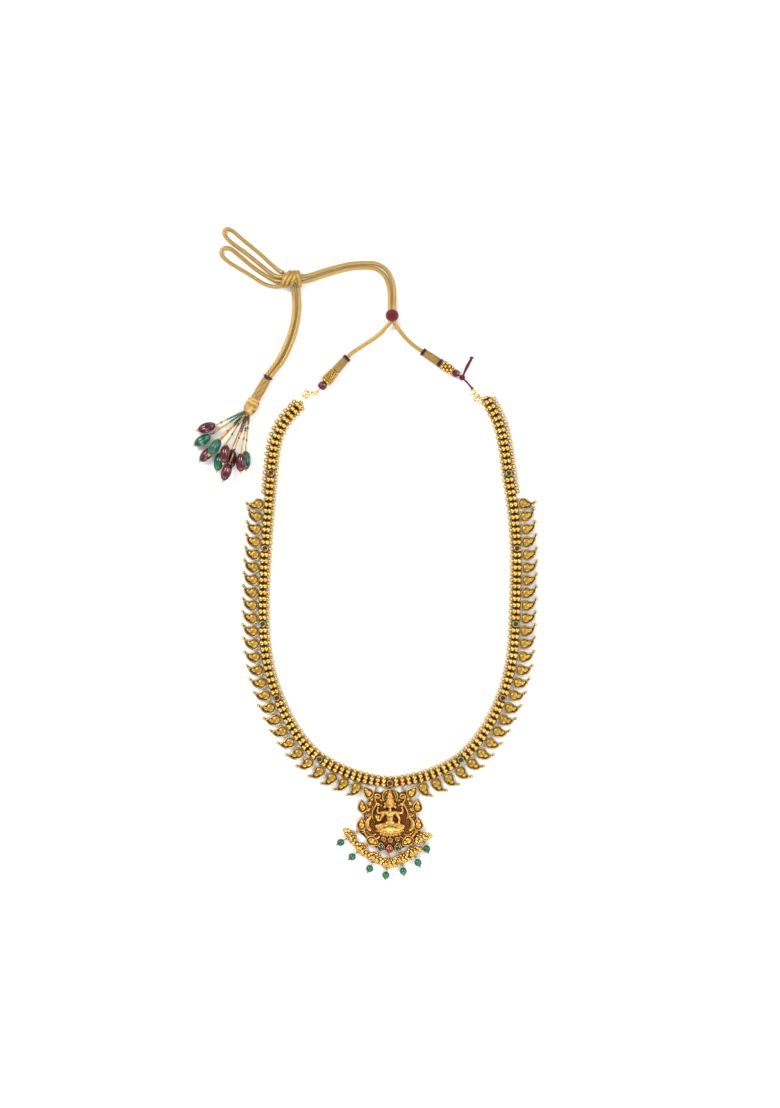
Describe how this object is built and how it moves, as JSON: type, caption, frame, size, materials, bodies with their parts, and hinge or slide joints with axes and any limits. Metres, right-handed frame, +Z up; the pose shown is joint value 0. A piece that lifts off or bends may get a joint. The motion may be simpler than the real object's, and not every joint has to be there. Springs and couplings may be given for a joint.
{
  "type": "temple jewellery necklace",
  "caption": "Long South Indian temple necklace lying flat: ball chain with mango motifs, seated-figure pendant, bead fringe, two clasps and a golden tie cord with bead tassel.",
  "frame": {"origin": "bottom centre of the box of the necklace without its tie cord, on the surface it lies on", "axes": "+Z up from the surface, +Y from the pendant towards the tie cord, +X to the right of the picture"},
  "size_m": [0.1904, 0.3593, 0.0114],
  "materials": {
    "antique_gold": "antique matte gold plating on cast and beaded brass",
    "pale_gold": "polished pale gold plating",
    "ruby_glass": "polished faceted glass",
    "emerald_glass": "polished faceted glass",
    "green_onyx_bead": "polished green glass bead",
    "garnet_bead": "polished dark red glass bead",
    "slider_thread": "silk thread wound over a bead",
    "zari_thread": "metallic thread, braided",
    "maroon_thread": "matte silk thread"
  },
  "bodies": {
    "root": {"ball_rows_left": "antique_gold", "ball_rows_right": "antique_gold", "mango_rows_left": "antique_gold", "mango_rows_right": "antique_gold", "chain_threads": "maroon_thread", "chain_stone_1": "ruby_glass", "chain_stone_2": "ruby_glass", "chain_stone_3": "emerald_glass", "chain_stone_4": "ruby_glass", "chain_stone_5": "emerald_glass", "chain_stone_6": "ruby_glass", "chain_stone_7": "emerald_glass", "chain_stone_8": "ruby_glass", "chain_stone_9": "emerald_glass", "chain_stone_10": "ruby_glass", "chain_stone_11": "emerald_glass", "pendant_plaque": "antique_gold", "pendant_drop_left": "emerald_glass", "pendant_drop_middle": "ruby_glass", "pendant_drop_right": "emerald_glass", "pendant_ovals": "ruby_glass", "fringe_clusters": "antique_gold", "fringe_bead_1": "green_onyx_bead", "fringe_bead_2": "green_onyx_bead", "fringe_bead_3": "green_onyx_bead", "fringe_bead_4": "green_onyx_bead", "fringe_bead_5": "green_onyx_bead", "fringe_bead_6": "green_onyx_bead", "fringe_bead_7": "green_onyx_bead", "fringe_pins": "antique_gold", "link_left": "pale_gold", "link_right": "pale_gold", "clasp_left": "pale_gold", "clasp_right": "pale_gold", "end_pin_left": "antique_gold", "end_bead_left": "garnet_bead", "coil_cone_left": "antique_gold", "zari_wrap_left": "zari_thread", "collar_left": "maroon_thread", "collars_right": "maroon_thread", "zari_wrap_right": "zari_thread", "ball_cluster_right": "antique_gold", "end_bead_right": "garnet_bead", "tie_thread": "maroon_thread", "slider_bead": "slider_thread", "cord_left": "zari_thread", "cord_right": "zari_thread", "cord_knot": "zari_thread", "loop_upper": "zari_thread", "loop_lower": "zari_thread", "tail_left": "zari_thread", "tail_right": "zari_thread", "tassel_collar": "maroon_thread", "tassel_strings": "zari_thread", "melon_beads_green": "green_onyx_bead", "melon_beads_red": "garnet_bead"},
    "lever_left": {"lever_left": "pale_gold"},
    "lever_right": {"lever_right": "pale_gold"}
  },
  "joints": [
    {"name": "lever_left_open", "type": "hinge", "parent": "root", "child": "lever_left", "pos_m": [-0.0303, 0.12215, 0.00172], "axis": [0, 0, 1], "range_deg": [0, 22], "stiffness_Nm_per_rad": 0.00001, "springref_deg": -11.46},
    {"name": "lever_right_open", "type": "hinge", "parent": "root", "child": "lever_right", "pos_m": [0.05961, 0.12073, 0.00172], "axis": [0, 0, 1], "range_deg": [0, 22], "stiffness_Nm_per_rad": 0.00001, "springref_deg": -11.46}
  ]
}
